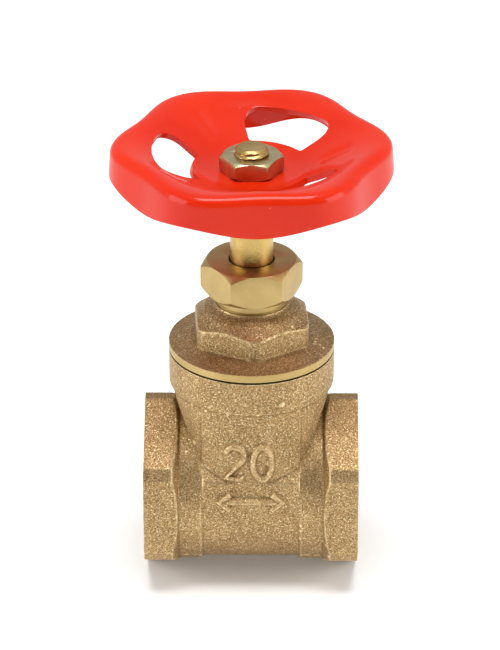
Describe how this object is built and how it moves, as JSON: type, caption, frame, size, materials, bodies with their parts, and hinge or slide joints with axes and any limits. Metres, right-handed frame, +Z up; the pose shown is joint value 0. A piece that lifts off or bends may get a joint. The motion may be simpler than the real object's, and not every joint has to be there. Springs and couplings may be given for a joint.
{
  "type": "gate valve",
  "caption": "Brass gate valve with threaded pipe ends, a non-rising stem and a lobed red handwheel that raises and lowers a wedge across the bore.",
  "frame": {"origin": "where the stem axis crosses the pipe axis, at the middle of the waterway", "axes": "+X along the pipe through the waterway, +Z up the stem towards the handwheel, +Y towards the back"},
  "size_m": [0.0504, 0.0474, 0.0844],
  "materials": {
    "cast_brass": "sand-cast and blasted, fine bright grain",
    "machined_brass": "turned and milled, semi-bright",
    "stem_brass": "turned bright",
    "red_enamel": "glossy red enamel on pressed steel",
    "plated_steel": "yellow zinc plating, slightly olive",
    "gasket_fibre": "dark compressed fibre, matt",
    "packing": "white PTFE, smooth"
  },
  "bodies": {
    "valve_body": {"body": "cast_brass", "bonnet": "cast_brass", "bonnet_gasket": "gasket_fibre", "lower_thrust_washer": "machined_brass", "upper_thrust_washer": "machined_brass", "packing_ring_lower": "packing", "packing_ring_middle": "packing", "packing_ring_upper": "packing"},
    "stem_and_wheel": {"stem": "stem_brass", "handwheel": "red_enamel", "wheel_nut": "plated_steel"},
    "wedge": {"wedge": "cast_brass"},
    "gland_follower": {"gland_follower": "machined_brass"},
    "gland_nut": {"gland_nut": "machined_brass"}
  },
  "joints": [
    {"name": "stem_turn", "type": "hinge", "parent": "valve_body", "child": "stem_and_wheel", "pos_m": [0, 0, 0.061], "axis": [0, 0, 1], "range_deg": [-2115, 0]},
    {"name": "wedge_lift", "type": "slide", "parent": "valve_body", "child": "wedge", "axis": [0, 0, 1], "range_m": [-0.01763, 0]},
    {"name": "gland_travel", "type": "slide", "parent": "valve_body", "child": "gland_follower", "axis": [0, 0, 1], "range_m": [0, 0.0031]},
    {"name": "gland_nut_turn", "type": "hinge", "parent": "gland_follower", "child": "gland_nut", "pos_m": [0, 0, 0.0415], "axis": [0, 0, 1], "range_deg": [0, 1080]}
  ],
  "couplings": [
    {"joint": "wedge_lift", "follows": "stem_turn", "m_per_rad": 0.00047746},
    {"joint": "gland_travel", "follows": "gland_nut_turn", "m_per_rad": 0.00015915}
  ]
}
